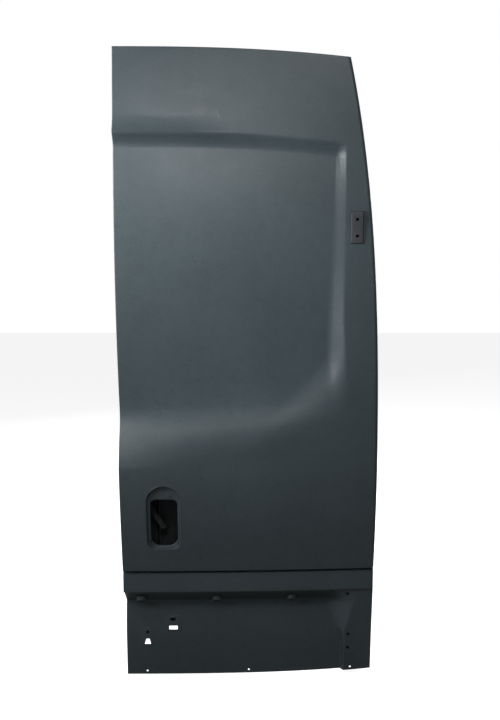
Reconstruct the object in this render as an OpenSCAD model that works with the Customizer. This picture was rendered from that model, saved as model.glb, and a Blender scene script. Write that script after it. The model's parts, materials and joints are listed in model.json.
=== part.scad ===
/* [Leaf] */
// Height of the leaf at its meeting edge
leaf_h = 1940; // [1900:5:1980]
// Width of the leaf at its foot
leaf_w = 780; // [765:1:795]
// How far the hinge edge leans in at the roof
edge_lean = 102; // [80:1:120]
// Height of the upper stretch over which the hinge edge leans
lean_h = 1680; // [1620:5:1740]
// Power of the hinge edge's curve
edge_curve = 3.6; // [3.2:0.1:4]
// Fall of the roof line at the hinge edge
roof_fall = 28; // [20:1:36]
// How far the hinge edge lies further in than the meeting edge
plan_bow = 28; // [20:1:34]
// How far the top edge lies further in than the belt
top_tumble = 94; // [80:1:104]

/* [Outer skin] */
// Thickness of the outer sheet
skin_t = 1; // [0.8:0.1:1.2]
// Depth of the turned edge at the sides and the top
flange_d = 14; // [11:1:18]
// Depth of the turned edge under the lip
hem_d = 6; // [4:1:8]
// How far the skin rolls in at the hinge edge
edge_roll = 6; // [3:1:8]
// Width over which it rolls in
roll_w = 10; // [8:1:14]
// Height of the belt, the outermost line
belt_z = 690; // [670:1:710]
// How far the skin tucks in from the belt to the groove
body_tuck = 40; // [32:1:46]
// Height of the groove above the lip
groove_z = 364; // [354:1:374]
// Depth of the groove
groove_d = 10; // [7:1:13]
// Half width of the groove
groove_half = 7; // [5:1:9]
// Height of the lip's lower edge
lip_z = 299; // [294:1:306]
// How far the lip's lower edge lies further in than the belt
lip_y = 41; // [36:1:44]
// How far the band over the lip flares outwards
lip_flare = 4; // [1:1:6]

/* [Recess] */
// Height of the crease under the recess, where the cut corner starts
crease_z = 738; // [732:1:744]
// How much lower that crease lies at the meeting edge
crease_fall = 24; // [16:1:28]
// Height of the slope above that crease
belt_slope_h = 165; // [155:1:170]
// Bend at that crease at the meeting edge, as a share of the slope's mean steepness
crease_bend = 0.45; // [0.3:0.05:0.6]
// Share of that bend that is gone at the hinge side
crease_fade = 0.7; // [0.5:0.05:0.9]
// How far the brow over the recess lies below the roof line at the meeting edge
brow_drop = 235; // [220:1:250]
// Fall of the brow at the recess's far corner
crest_fall = 32; // [24:1:40]
// Height of the step under the brow
step_h = 50; // [40:1:60]
// How far the brow stands out
brow_out = 18; // [10:1:24]
// Height over which the brow flares out
brow_h = 50; // [40:1:60]
// How far from the meeting edge the brow has faded out
brow_len = 430; // [400:5:460]
// Distance of the recess's hinge side from the hinge line
recess_in = 30; // [26:1:40]
// How far that side runs out at its foot
recess_flare = 17; // [10:1:20]
// Height of the stretch over the cut corner where it runs out
flare_h = 299; // [270:1:330]
// Width of the hinge side's slope at the brow
slope_top_w = 30; // [24:1:36]
// Width of the hinge side's slope at the belt
slope_low_w = 75; // [60:1:85]
// Width of the cut corner
corner_w = 165; // [150:1:180]
// Height of the cut corner
corner_h = 182; // [174:1:190]
// Width of the slope along the cut corner
corner_slope_w = 130; // [115:5:145]
// Bend at the cut corner's crease, as a share of the slope's mean steepness
corner_bend = 0.6; // [0.4:0.05:0.7]
// How far the recess's ends lie further in than the belt
floor_in = 60; // [54:1:66]
// How far the recess bulges back out halfway up
floor_bulge = 34; // [26:1:38]
// How much shallower the recess is at its lower corner on the hinge side
floor_ease = 40; // [30:1:44]
// How much deeper it is at its upper corner on the hinge side
floor_sink = 6; // [3:1:9]

/* [Foot] */
// Thickness of the foot's sheet
foot_t = 1; // [0.8:0.1:1.2]
// How far the foot lies further in than the belt
foot_in = 84; // [78:1:90]
// Extra depth under the ledge
foot_tuck = 23; // [16:1:26]
// Height of the foot below the ledge
ledge_z = 236; // [228:1:242]
// Height at which the tuck starts
tuck_z = 110; // [100:1:120]
// Distance from the hinge edge at which the foot starts to come forward
ramp_in = 146; // [135:1:160]
// How much nearer to the hinge edge that is for each millimetre below the ledge
ramp_lean = 0.36; // [0.3:0.01:0.4]
// Least width of the stretch over which it comes forward
ramp_least = 14; // [10:1:20]
// Distance from the hinge edge at which it has come forward
flush_in = 85; // [80:1:90]
// Height at which that stretch starts to narrow upwards
flush_low_z = 150; // [140:1:160]
// Width that is left of it at the lip
flush_top_w = 33; // [25:1:40]
// How far the flush part leans in at the bottom
flush_lean = 20; // [12:1:26]
// How far the foot's meeting edge stays behind the lip's edge
foot_inset = 2; // [1:0.5:4]
// Rise of the lower edge at the hinge side
foot_rise = 16; // [10:1:18]

/* [Inner frame] */
// Thickness of the inner frame's sheet
frame_t = 1.2; // [0.9:0.1:1.5]
// How far the inner face lies further in than the belt
inner_face = 128; // [124:1:136]
// How far the inner face leans in at the roof
inner_lean = 8; // [4:1:14]
// How far the inner face follows the leaf's bow
inner_bow = 14; // [8:1:18]
// Width of the posts
post_w = 107; // [98:1:112]
// Width of the posts at the foot
post_foot_w = 46; // [42:1:52]
// Width of the flanges on the skin
land_w = 13; // [11:1:15]
// Height of the top rail
top_rail_h = 72; // [60:1:84]
// Height of the waist rail's lower edge
waist_z = 788; // [780:1:800]
// Height of the waist rail
waist_h = 82; // [74:1:90]
// Height of the bottom rail's lower edge
bottom_rail_z = 24; // [20:1:28]
// Height of the bottom rail
bottom_rail_h = 50; // [42:1:56]
// Width of the access hole in the inner panel
access_w = 260; // [200:5:300]
// Height of the access hole in the inner panel
access_h = 210; // [160:5:240]
// Height of the access hole's middle
access_z = 540; // [520:5:560]
// Distance of the access hole's middle from the hinge edge
access_in = 370; // [355:5:390]
// Corner radius of the access hole
access_r = 45; // [30:1:60]

/* [Handle] */
// Width of the handle pocket
pocket_w = 110; // [104:1:114]
// Height of the handle pocket
pocket_h = 216; // [206:1:224]
// Distance of the pocket's middle from the meeting edge
pocket_x = 132; // [128:1:136]
// Height of the pocket's middle
pocket_z = 552; // [546:1:556]
// Depth of the pocket
pocket_d = 15; // [11:1:18]
// Corner radius at the pocket's foot
pocket_r = 34; // [26:1:40]
// Width of the see-through aperture
aperture_w = 84; // [76:1:86]
// Height of the see-through aperture
aperture_h = 157; // [150:1:160]
// How far the aperture's middle lies below the pocket's middle
aperture_drop = 20.5; // [19:0.5:22]
// Corner radius at the aperture's foot
aperture_r = 30; // [24:1:34]
// Corner radius at the aperture's head
aperture_head_r = 18; // [12:1:24]
// Thickness of the plates behind the pocket and the hinges
plate_t = 2.5; // [2:0.1:3]
// Width of the strut behind the aperture
brace_w = 16; // [12:1:20]
// Length of the strut behind the aperture
brace_len = 138; // [130:1:140]
// Height of the strut's arch over the frame
brace_arch = 34; // [28:1:38]

/* [Latch plates] */
// Width of the plates that the latches are screwed to
latch_plate_w = 60; // [54:1:62]
// Height of these plates
latch_plate_h = 130; // [116:1:134]
// Distance of these plates from the leaf's edge
latch_plate_in = 38; // [36:1:40]
// Height of the lock's plate
lock_plate_z = 655; // [652:1:680]
// Height of the lower latch's plate behind the foot
lower_latch_z = 144; // [142:1:147]
// Height over which that plate spans
lower_latch_h = 124; // [118:1:124]
// How far it stands behind the foot
lower_latch_d = 16; // [13:1:18]
// How far the upper latch's plate lies below the roof line
upper_latch_drop = 150; // [140:1:170]
// Height of the check strap's plate
strap_plate_z = 640; // [600:5:680]
// Radius of the plates' screw holes
screw_r = 3.5; // [2.5:0.1:4]

/* [Hinges] */
// Width of the upper hinge's seat
seat_w = 36; // [34:1:40]
// Height of the upper hinge's seat
seat_h = 93; // [88:1:98]
// How far the seat stands out of the skin at its lower inner corner
seat_out = 2; // [1:0.5:4]
// Distance of the hinge line from the hinge edge at the foot
hinge_in = 75; // [73:1:78]
// How far the upper hinge's middle lies below the roof line
hinge_drop = 510.5; // [495:0.5:525]
// Height of the lower hinge's middle
lower_hinge_z = 116; // [113:0.5:118]
// Distance between a hinge's two holes
hinge_pitch = 48; // [44:1:52]
// Radius of the hinge holes
hinge_hole_r = 4.5; // [3.5:0.1:5]
// Thickness of the hinge plates
hinge_plate_t = 4; // [3:0.5:5]

/* [Trim clips] */
// Distance of the first clip cup from the meeting edge
cup_x = 53; // [50:1:56]
// Distance of the last clip cup from the start of the foot's ramp
cup_in = 107; // [95:1:120]
// Radius of a clip cup
cup_r = 17; // [14:1:19]
// Depth of a clip cup
cup_d = 14; // [10:1:16]

/* [Stiffeners] */
// Width of a stiffener bar
bar_w = 46; // [38:1:54]
// Thickness of the mastic between the bars and the skin
mastic_t = 3; // [2:0.5:4]

/* [Hidden] */

// Clearance between sheets that lie on each other
gap = 0.5;
// Room that a flange leaves behind a sheet that slopes
flange_gap = 0.9;
// Room between the upper hinge seat and the skin around it
seat_gap = 0.8;
// Power of the curves of the roof line, the brow and the tumble
curve = 2.6;
// How far a turned edge leans out over its depth
draft = 0.8;
// Room that a cut takes in front of the leaf and behind it
cut_room = 60;

// Places that follow from the sizes above
lean_z = leaf_h - lean_h;
crest_z = leaf_h - brow_drop;
hinge_x = leaf_w - hinge_in;
upper_hinge_z = leaf_h - hinge_drop;
recess_w = hinge_x - recess_in;
flare_z = crease_z + corner_h + flare_h;
corner_end = [recess_w + recess_flare, crease_z + corner_h];
corner_x = corner_end.x - corner_w;
floor_low_z = crease_z + belt_slope_h;
floor_top_z = crest_z - step_h;
ramp_x = leaf_w - ramp_in;
flush_x = leaf_w - flush_in;
ledge_y = lip_y + hem_d + skin_t + gap;
access_x = leaf_w - access_in;
cup_pitch = (ramp_x - cup_in - cup_x) / 2;
upper_latch_z = leaf_h - upper_latch_drop;
// The stiffener bars lie at the thirds of the recess's floor
lower_bar_z = lerp(floor_low_z, floor_top_z, 1 / 3);
upper_bar_z = lerp(floor_low_z, floor_top_z, 2 / 3);

primer = [0.24, 0.28, 0.3];
inner_primer = [0.3, 0.34, 0.36];
plate_grey = [0.36, 0.35, 0.35];
mastic_grey = [0.15, 0.15, 0.15];

function lerp(a, b, t) = a + (b - a) * t;
function clamp01(t) = min(1, max(0, t));
function unit(v) = v / max(norm(v), 1e-9);

// Ramp from 0 to 1 that is rounded over the share a at its foot and the share b at its head
function ramp_slope(a, b) = 2 / (2 - a - b);
function ramp(t, a, b) =
    t <= 0 ? 0 :
    t >= 1 ? 1 :
    t < a ? ramp_slope(a, b) * t * t / (2 * a) :
    t < 1 - b ? ramp_slope(a, b) * (t - a / 2) :
    1 - ramp_slope(a, b) * pow(1 - t, 2) / (2 * b);

// Outline of the leaf
function edge_x(z) = leaf_w - edge_lean * pow(max(0, (z - lean_z) / lean_h), edge_curve);
function top_z(x) = leaf_h - roof_fall * pow(max(0, x) / edge_x(leaf_h), curve);
function plan_y(x) = plan_bow * pow(x / leaf_w, 2);

// Outline of the recess
function brow_z(x) = crest_z - crest_fall * pow(max(0, x) / recess_w, curve);
function recess_x(z) = recess_w + recess_flare * pow(clamp01((flare_z - z) / flare_h), 2);
function slope_w(z) = lerp(slope_low_w, slope_top_w, clamp01((z - crease_z) / (crest_z - crease_z)));
corner_dir = unit([corner_w, corner_h]);
function corner_dist(x, z) = corner_dir.x * (z - corner_end.y) - corner_dir.y * (x - corner_end.x);
function crease_at(x) = crease_z - crease_fall * (1 - clamp01(x / corner_x));
function crease_line(x) = crease_at(x) + corner_h * clamp01((x - corner_x) / corner_w);
function recess_across(x) = clamp01(x / recess_w);
// Ramp that leaves a crease with a bend, steepens and is rounded at its head
function rollover(t, bend) = bend * clamp01(t) + (1 - bend) * ramp(t, 0.6, 0.35);
function recess_share(x, z) =
    ramp((brow_z(x) - z) / step_h, 0.25, 0.4)
    * ramp((recess_x(z) - x) / slope_w(z), 0.2, 0.4)
    * rollover(corner_dist(x, z) / corner_slope_w, corner_bend)
    * rollover((z - crease_at(x)) / belt_slope_h, crease_bend * (1 - crease_fade * recess_across(x)));

// Outer face of the skin, as its depth behind the belt
function tumble_y(z) =
    z > belt_z ? top_tumble * pow((z - belt_z) / (leaf_h - belt_z), curve) :
    body_tuck * pow((belt_z - z) / (belt_z - groove_z), 1.5);
function brow_y(x, z) =
    let (over = (z - brow_z(x)) / brow_h)
    brow_out * max(0, 1 - pow(x / brow_len, 2)) * pow(1 - clamp01(over < 0 ? -over / 3 : over), 2);
floor_mid = (floor_top_z + floor_low_z) / 2;
floor_half = (floor_top_z - floor_low_z) / 2;
function floor_y(x, z) =
    let (up = (z - floor_mid) / floor_half)
    floor_in
    - floor_bulge * (1 - pow(up, 2))
    - floor_ease * (1 - pow(1 - recess_across(x), 2)) * pow(max(0, -up), 4)
    + floor_sink * recess_across(x) * pow(max(0, up), 3);
function lip_band_y(z) = lip_y + lip_flare * clamp01((z - lip_z) / (groove_z - lip_z));
function groove_y(z) = groove_d * max(0, 1 - abs(z - groove_z) / groove_half);
function roll_y(x, z) = edge_roll * pow(clamp01((x - edge_x(z) + roll_w) / roll_w), 2);
function outer_y(x, z) =
    plan_y(x) + roll_y(x, z) + groove_y(z) + (
        z < groove_z ? lip_band_y(z) :
        lerp(tumble_y(z) - brow_y(x, z), floor_y(x, z), recess_share(x, z)));

// Outer face of the foot
function foot_ramp_x(z) = min(ramp_x + ramp_lean * max(0, ledge_z - z), flush_x - ramp_least);
function foot_flush_x(z) =
    lerp(flush_x, leaf_w - flush_top_w, clamp01((z - flush_low_z) / (lip_z - flush_low_z)));
function foot_low_y(z) =
    z > ledge_z ? lerp(foot_in + foot_tuck, ledge_y, ramp((z - ledge_z) / (lip_z - ledge_z), 0.3, 0.1)) :
    foot_in + foot_tuck * pow(max(0, (z - tuck_z) / (ledge_z - tuck_z)), 2);
function foot_flush_y(z) = ledge_y + flush_lean * (1 - z / lip_z);
function foot_y(x, z) =
    plan_y(x)
    + lerp(
        foot_low_y(z), foot_flush_y(z),
        ramp((x - foot_ramp_x(z)) / (foot_flush_x(z) - foot_ramp_x(z)), 0.2, 0.25)
    );
function foot_z(x) = foot_rise * pow(max(0, x) / leaf_w, 4);

// Inner face of the frame
function inner_y(x, z) = inner_face + inner_lean * pow(z / leaf_h, 2) + inner_bow * pow(x / leaf_w, 2);
// Face that the frame's flanges lie against: the foot up to just over the lip, then the skin
lip_clear = 3;
function land_y(x, z) =
    flange_gap + (z > lip_z + lip_clear ? outer_y(x, z) + skin_t : foot_y(x, min(z, lip_z)) + foot_t);

// Positions along a list of stretches, each cut in the given number of steps
function spread(steps) =
    [for (k = [0:len(steps) - 1]) for (i = [0:steps[k] - 1]) k + i / steps[k], len(steps)];
function along(keys, p) = let (k = min(floor(p), len(keys) - 2)) lerp(keys[k], keys[k + 1], p - k);

// Closed sheet of thickness t behind a grid of points, rows upwards and columns to the right
function index_in(i, n, wrap) = wrap ? (i + n) % n : min(n - 1, max(0, i));
function sheet_normal(p, i, j, wrap) =
    let (n = len(p), m = len(p[0]))
    let (a = p[i][j])
    let (u = unit(p[i][index_in(j + 1, m, wrap)] - a) + unit(a - p[i][index_in(j - 1, m, wrap)]))
    let (v = unit(p[min(n - 1, i + 1)][j] - a) + unit(a - p[max(0, i - 1)][j]))
    unit(cross(u, v));
function quad(a, b, c, d) = [[a, b, c], [a, c, d]];
module sheet(p, t, wrap = false) {
    n = len(p);
    m = len(p[0]);
    q = n * m;
    r = q - m;
    front = [for (i = [0:n - 1]) for (j = [0:m - 1]) p[i][j]];
    back = [for (i = [0:n - 1]) for (j = [0:m - 1]) p[i][j] - t * sheet_normal(p, i, j, wrap)];
    cols = [0:wrap ? m - 1 : m - 2];
    faces = [
        for (i = [0:n - 2]) for (j = cols) let (a = i * m + j, b = i * m + (j + 1) % m)
            each concat(quad(a + m, b + m, b, a), quad(q + a + m, q + a, q + b, q + b + m)),
        for (j = cols) let (k = (j + 1) % m)
            each concat(quad(j, k, q + k, q + j), quad(r + k, r + j, q + r + j, q + r + k)),
        if (!wrap) for (i = [0:n - 2]) let (a = i * m, b = a + m - 1)
            each concat(quad(a + m, a, q + a, q + a + m), quad(b, b + m, q + b + m, q + b))
    ];
    polyhedron(points = concat(front, back), faces = faces, convexity = 10);
}

// The skin's rows and columns follow its creases
function skin_rows(x) = [
    lip_z, groove_z - groove_half, groove_z, groove_z + groove_half,
    crease_line(x), crease_line(x) + belt_slope_h,
    brow_z(x) - step_h, brow_z(x), brow_z(x) + brow_h, top_z(x)
];
first_col = 12;
function skin_cols(z) = [
    0, first_col, corner_x, recess_x(z) - slope_w(z), recess_x(z), edge_x(z) - roll_w, edge_x(z)
];
SKIN_ROWS = spread([1, 1, 1, 7, 7, 12, 5, 3, 4]);
SKIN_COLS = spread([1, 10, 3, 6, 3, 3]);
function skin_place(row, col) =
    let (z0 = along(skin_rows(leaf_w / 2), row))
    let (x0 = along(skin_cols(z0), col))
    let (z1 = along(skin_rows(x0), row))
    let (x1 = along(skin_cols(z1), col))
    [x1, along(skin_rows(x1), row)];
function skin_point(i, j) =
    let (n = len(SKIN_ROWS), m = len(SKIN_COLS))
    let (xz = skin_place(SKIN_ROWS[min(n - 1, max(0, i))], SKIN_COLS[min(m - 1, max(0, j))]))
    let (side = j < 0 ? 1 : (j >= m ? -1 : 0))
    let (below = i < 0 ? 1 : 0, above = i >= n ? 1 : 0)
    let (turn = max(below * hem_d, above * flange_d, abs(side) * flange_d))
    let (extra = (below + above) * abs(side) * draft)
    [
        xz.x + side * draft,
        outer_y(xz.x, xz.y) + turn + extra,
        xz.y + (below - above) * draft
    ];

module rounded_slot(w, h, r) {
    translate([-w / 2 + r, -h / 2 + r]) square([w - 2 * r, h - 2 * r]);
    translate([-w / 2, -h / 2 + r]) square([w, h - 2 * r]);
    translate([-w / 2 + r, -h / 2]) square([w - 2 * r, h]);
    for (sx = [-1, 1]) for (sz = [-1, 1]) translate([sx * (w / 2 - r), sz * (h / 2 - r)]) circle(r, $fn = 32);
}

// Cuts a flat outline straight through at a place on the leaf
module through(x, z, y0 = -cut_room, y1 = inner_face + cut_room) {
    translate([x, y1, z]) rotate([90, 0, 0]) linear_extrude(y1 - y0) children();
}

// Outline of the pocket, arched at the head and rounded at the foot, moved in by an inset
module pocket_outline(inset) {
    r = pocket_w / 2 - inset;
    foot_r = pocket_r - inset;
    translate([0, pocket_h / 2 - pocket_w / 2]) circle(r, $fn = 64);
    translate([-r, -pocket_h / 2 + pocket_r]) square([2 * r, pocket_h - pocket_w / 2 - pocket_r]);
    translate([-r + foot_r, -pocket_h / 2 + inset]) square([2 * (r - foot_r), pocket_r]);
    for (sx = [-1, 1]) {
        translate([sx * (r - foot_r), -pocket_h / 2 + pocket_r]) circle(foot_r, $fn = 48);
    }
}

module outer_skin() {
    rows = len(SKIN_ROWS);
    cols = len(SKIN_COLS);
    color(primer) difference() {
        sheet([for (i = [-1:rows]) [for (j = [-1:cols]) skin_point(i, j)]], skin_t);
        through(pocket_x, pocket_z) pocket_outline(0);
        through(hinge_x, upper_hinge_z) square([seat_w + 2 * seat_gap, seat_h + 2 * seat_gap], center = true);
    }
}

// The foot hangs under the lip and its rows follow the ledge
foot_edge_in = 1;
function foot_rows(x) = [foot_z(x), tuck_z, ledge_z, lip_z - 2];
function foot_cols(z) = [
    foot_inset, foot_ramp_x(z), foot_flush_x(z), leaf_w - foot_edge_in
];
FOOT_ROWS = spread([4, 4, 5]);
FOOT_COLS = spread([9, 5, 3]);
function foot_point(i, j) =
    let (n = len(FOOT_ROWS), m = len(FOOT_COLS))
    let (col = FOOT_COLS[min(m - 1, max(0, j))])
    let (z0 = along(foot_rows(leaf_w / 2), FOOT_ROWS[max(0, i)]))
    let (x = along(foot_cols(z0), col))
    let (z = along(foot_rows(x), FOOT_ROWS[max(0, i)]))
    let (side = j < 0 ? 1 : (j >= m ? -1 : 0), below = i < 0 ? 1 : 0)
    [
        x + side * draft,
        foot_y(x, z) + max(below * hem_d, abs(side) * flange_d) + below * abs(side) * draft,
        z + below * draft
    ];

// Holes in the foot: places from the meeting edge and the lower edge, and sizes
oval_slot = [149.5, 185];
oval_size = [17, 10];
wide_slot = [151, 159];
wide_size = [27, 12];
wide_r = 2;
peg_hole = [69, 145];
peg_r = 4.5;
latch_hole = [69, 114];
latch_outline = [[-10, -9], [10, -9], [6, 9], [-4, 9]];
strap_hole = [hinge_x - 4, lip_z - 20.5];
drain_rise = 12;
drain_in = 66;
drain_r = 3;

module foot_panel() {
    rows = len(FOOT_ROWS);
    cols = len(FOOT_COLS);
    color(primer) difference() {
        sheet([for (i = [-1:rows - 1]) [for (j = [-1:cols]) foot_point(i, j)]], foot_t);
        for (s = [-1, 1]) {
            through(hinge_x, lower_hinge_z + s * hinge_pitch / 2) circle(hinge_hole_r, $fn = 32);
        }
        through(oval_slot.x, oval_slot.y) rounded_slot(oval_size.x, oval_size.y, oval_size.y / 2 - 0.1);
        through(wide_slot.x, wide_slot.y) rounded_slot(wide_size.x, wide_size.y, wide_r);
        for (q = [peg_hole, strap_hole]) through(q.x, q.y) circle(peg_r, $fn = 32);
        through(latch_hole.x, latch_hole.y) polygon(latch_outline);
        for (x = [drain_in, leaf_w / 2, leaf_w - drain_in]) {
            through(x, foot_z(x) + drain_rise) circle(drain_r, $fn = 24);
        }
    }
}

// Handle pocket
function arch_point(k, count, w, h, head_r, foot_r) =
    let (a = 360 * k / count)
    let (foot = a > 180)
    let (r = foot ? foot_r : head_r)
    let (cx = w / 2 - r, cz = foot ? -h / 2 + r : h / 2 - r)
    [cos(a) * r + sign(round(cos(a) * 1000)) * cx, sin(a) * r + cz];
POCKET_STEPS = 40;
pocket_draft = 5;
aperture_turn = 4;
// Screw holes, as places from the pocket's middle
pocket_holes = [
    [2.5, pocket_h / 2 - 20], [19, pocket_h / 2 - 42], [12 - pocket_w / 2, 24 - pocket_h / 2]
];
pocket_hole_r = 2.8;
function pocket_ring(inset, depth) =
    [for (k = [0:POCKET_STEPS - 1])
        let (w = pocket_w - 2 * inset)
        let (q = arch_point(k, POCKET_STEPS, w, pocket_h - 2 * inset, w / 2, pocket_r - inset))
        [pocket_x + q.x, outer_y(pocket_x + q.x, pocket_z + q.y) + depth, pocket_z + q.y]];
function aperture_ring(depth) =
    [for (k = [0:POCKET_STEPS - 1])
        let (q = arch_point(k, POCKET_STEPS, aperture_w, aperture_h, aperture_head_r, aperture_r))
        let (x = pocket_x + q.x, z = pocket_z - aperture_drop + q.y)
        [x, outer_y(x, z) + depth, z]];

module handle_pocket() {
    rings = [
        aperture_ring(pocket_d + aperture_turn), aperture_ring(pocket_d),
        pocket_ring(pocket_draft, pocket_d), pocket_ring(gap + 1, 2), pocket_ring(gap, 0.4)
    ];
    color(primer) difference() {
        sheet(rings, skin_t, true);
        for (q = pocket_holes) through(pocket_x + q.x, pocket_z + q.y) circle(pocket_hole_r, $fn = 24);
    }
}

// Strut that bridges the joint of the lock post and the inner panel, as places along and across it
brace_t = plate_t - 0.5;
brace_middle = [104, 526];
brace_lean = 58;
brace_foot = 14;
brace_rise = 12;
function brace_point(along_s, across_s, y) =
    let (c = cos(brace_lean), q = sin(brace_lean))
    let (x = brace_middle.x + along_s * c + across_s * q, z = brace_middle.y - along_s * q + across_s * c)
    [x, inner_y(x, z) - y, z];
module handle_brace() {
    half = brace_len / 2;
    top = half - brace_foot - brace_rise;
    post_foot = gap + brace_t;
    panel_foot = brace_t - frame_t;
    profile = [
        [-half, post_foot], [brace_foot - half, post_foot], [-top, brace_arch],
        [top, brace_arch], [half - brace_foot, panel_foot], [half, panel_foot]
    ];
    color(plate_grey)
        sheet([for (s = [-1, 1]) [for (q = profile) brace_point(q.x, s * brace_w / 2, q.y)]], brace_t);
}

// Plates behind the posts' webs, with four screw holes and a slot for the latch
screw_in = [12, 20];
latch_slot = [22, 50];
latch_slot_r = 6;
module plate_cuts(x, z) {
    for (sx = [-1, 1]) for (sz = [-1, 1]) {
        through(
            x + sx * (latch_plate_w / 2 - screw_in.x),
            z + sz * (latch_plate_h / 2 - screw_in.y)
        ) circle(screw_r, $fn = 24);
    }
    through(x, z) rounded_slot(latch_slot.x, latch_slot.y, latch_slot_r);
}
module post_plate(x, z) {
    x0 = x - latch_plate_w / 2;
    z0 = z - latch_plate_h / 2;
    color(plate_grey) difference() {
        translate([x0, inner_y(x0, z0) - gap - plate_t, z0]) cube([latch_plate_w, plate_t, latch_plate_h]);
        plate_cuts(x, z);
    }
}
lock_side_x = latch_plate_in + latch_plate_w / 2;
hinge_side_x = edge_x(strap_plate_z) - lock_side_x;

// Hinges
seat_y = outer_y(hinge_x - seat_w / 2, upper_hinge_z - seat_h / 2) - seat_out;
upper_bracket_over = 20;
upper_bracket_top = upper_hinge_z + seat_h / 2 + upper_bracket_over;
seat_back = outer_y(hinge_x + seat_w / 2, upper_bracket_top) + skin_t + gap;
module hinge_holes(z, y0, y1) {
    for (s = [-1, 1]) through(hinge_x, z + s * hinge_pitch / 2, y0, y1) circle(hinge_hole_r, $fn = 48);
}

// The seat is a pressed cap, open at the back, that fills its hole in the skin
module upper_hinge_seat() {
    depth = seat_back - seat_y;
    color(plate_grey) difference() {
        translate([hinge_x, seat_y + depth / 2, upper_hinge_z]) cube([seat_w, depth, seat_h], center = true);
        translate([hinge_x, seat_y + hinge_plate_t + depth / 2, upper_hinge_z])
            cube([seat_w - 2 * plate_t, depth, seat_h - 2 * plate_t], center = true);
        hinge_holes(upper_hinge_z, seat_y - 1, seat_y + hinge_plate_t + 1);
    }
}

// Bracket that carries a hinge plate on the web of the hinge post
bracket_in = 24;
bracket_out = 13;
bracket_w = bracket_in + bracket_out;
function bracket_foot_y(z, h) = inner_y(hinge_x - bracket_in, z - h / 2) - gap;
module hinge_bracket(y, z, h) {
    x = hinge_x - bracket_in;
    color(plate_grey) difference() {
        translate([x, y, z - h / 2]) cube([bracket_w, bracket_foot_y(z, h) - y, h]);
        translate([x + plate_t, y + plate_t, z - h / 2 - 1])
            cube([bracket_w - 2 * plate_t, inner_face + cut_room, h + 2]);
        hinge_holes(z, y - 1, y + plate_t + 1);
    }
}

upper_bracket_y = seat_back + gap;
module upper_hinge_reinforcement() {
    hinge_bracket(upper_bracket_y, upper_hinge_z, seat_h + 2 * upper_bracket_over);
}

nut_h = 7;
nut_wall = 4;
module upper_hinge_nut(s) {
    nut(upper_bracket_y, upper_hinge_z + s * hinge_pitch / 2);
}
module lower_hinge_nut(s) {
    nut(lower_bracket_y, lower_hinge_z + s * hinge_pitch / 2);
}
module nut(y, z) {
    color(plate_grey) translate([hinge_x, y + plate_t + gap, z]) rotate([-90, 0, 0]) difference() {
        cylinder(h = nut_h, r = hinge_hole_r + nut_wall, $fn = 6);
        translate([0, 0, -1]) cylinder(h = nut_h + 2, r = hinge_hole_r, $fn = 48);
    }
}

// The lower plate is upright, so it touches the foot's sheet only where that lies furthest in
lower_plate_over = 24;
lower_plate_h = hinge_pitch + 2 * lower_plate_over;
lower_plate_y = foot_t + gap + max([
    for (dx = [-bracket_in, bracket_out]) for (sz = [-1, 1])
        foot_y(hinge_x + dx, lower_hinge_z + sz * lower_plate_h / 2)
]);
module lower_hinge_plate() {
    color(plate_grey) difference() {
        translate([hinge_x - bracket_in, lower_plate_y, lower_hinge_z - lower_plate_h / 2])
            cube([bracket_w, hinge_plate_t, lower_plate_h]);
        hinge_holes(lower_hinge_z, lower_plate_y - 1, lower_plate_y + hinge_plate_t + 1);
    }
}

lower_bracket_y = lower_plate_y + hinge_plate_t + gap;
lower_bracket_over = 15;
module lower_hinge_reinforcement() {
    hinge_bracket(lower_bracket_y, lower_hinge_z, lower_plate_h + 2 * lower_bracket_over);
}

// Clip cups, square to the ledge
cup_rise = 28;
cup_z = ledge_z + cup_rise;
cup_seat = 0.8;
cup_taper = 3;
cup_rim = 5;
cup_floor = 2;
cup_half = 6;
module clip_cup(k) {
    x = cup_x + k * cup_pitch;
    lean = atan2(foot_y(x, cup_z - cup_half) - foot_y(x, cup_z + cup_half), 2 * cup_half);
    color(primer) translate([x, foot_y(x, cup_z), cup_z]) rotate([90 + lean, 0, 0]) difference() {
        translate([0, 0, cup_seat]) cylinder(h = cup_d, r1 = cup_r, r2 = cup_r - cup_taper, $fn = 40);
        translate([0, 0, cup_seat + cup_floor]) cylinder(h = cup_d, r = cup_r - cup_rim, $fn = 40);
    }
}

// Inner frame: hat sections whose flanges lie on the skins. Below the waist the walls on the
// posts' inner sides are short, and the inner panel closes the frame.
flange_in = 5;
wall_slant = 5;
web_drop = 6;
wall_draft = 4;
wall_turn = 3;
short_wall = 28;
wall_fade = 40;
post_foot_gap = 19;
post_taper_h = 64;
waist_flange_h = 14;
waist_top = waist_z + waist_h + waist_flange_h;
rail_foot_z = leaf_h - roof_fall - top_rail_h;
function above_waist(z) = (z - waist_top) / wall_fade;
function under_rail(z) = clamp01((rail_foot_z - z) / wall_fade);
function lock_post_w(z) = lerp(post_foot_w, post_w, clamp01((z - ledge_z) / post_taper_h));
function wall_end(x, z) =
    lerp(max(inner_y(x, z) - short_wall, land_y(x, z)), land_y(x, z), ramp(above_waist(z), 0.2, 0.2));
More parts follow.
